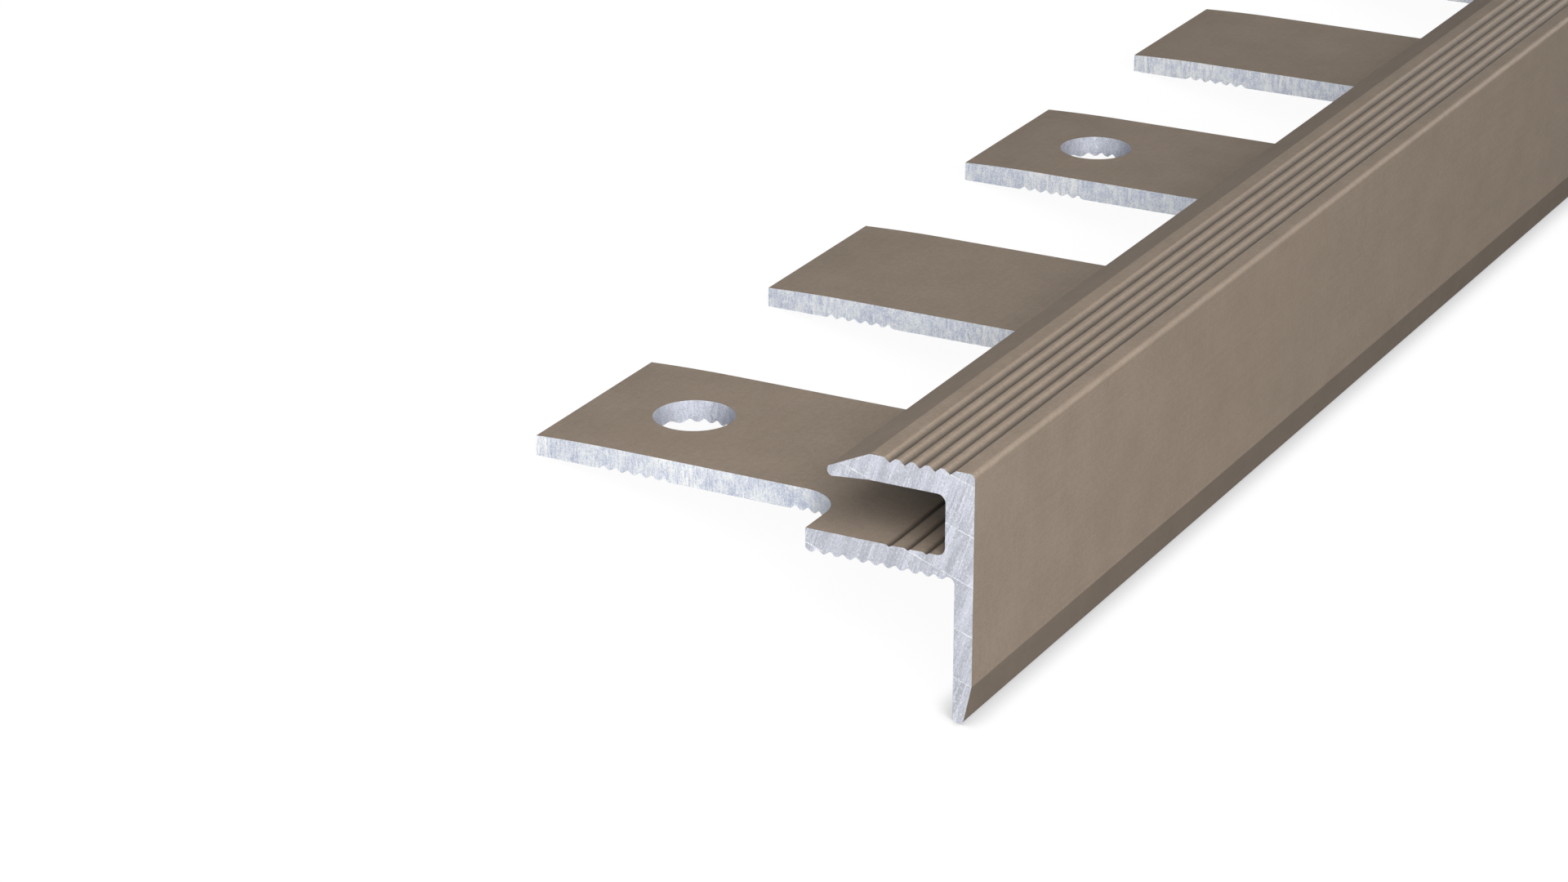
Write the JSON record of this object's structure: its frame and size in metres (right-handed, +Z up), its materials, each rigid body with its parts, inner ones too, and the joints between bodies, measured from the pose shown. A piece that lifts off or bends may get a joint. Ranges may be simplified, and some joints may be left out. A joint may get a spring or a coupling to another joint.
{
  "type": "stair nosing",
  "caption": "Aluminium stair nosing extrusion with a grooved top flange, a slot for thin floor covering, a front leg with a tapered lip, and a punched anchoring plate with screw holes.",
  "frame": {"origin": "on the floor under the middle of the bounding box, with the profile lying as it comes to rest", "axes": "+Y along the length, from the sawn end seen in the picture; +X out of the front face; +Z up. The section is tipped back about 16 degrees from its position of use, onto its lip and the free ends of its tabs."},
  "size_m": [0.0446, 1, 0.0205],
  "materials": {
    "coated_aluminium": "satin bronze-grey coating on every extruded face, bare bright aluminium on the sawn ends, the punched sides of the tabs and the hole walls"
  },
  "bodies": {
    "root": {"nosing_profile": "coated_aluminium"}
  },
  "joints": []
}
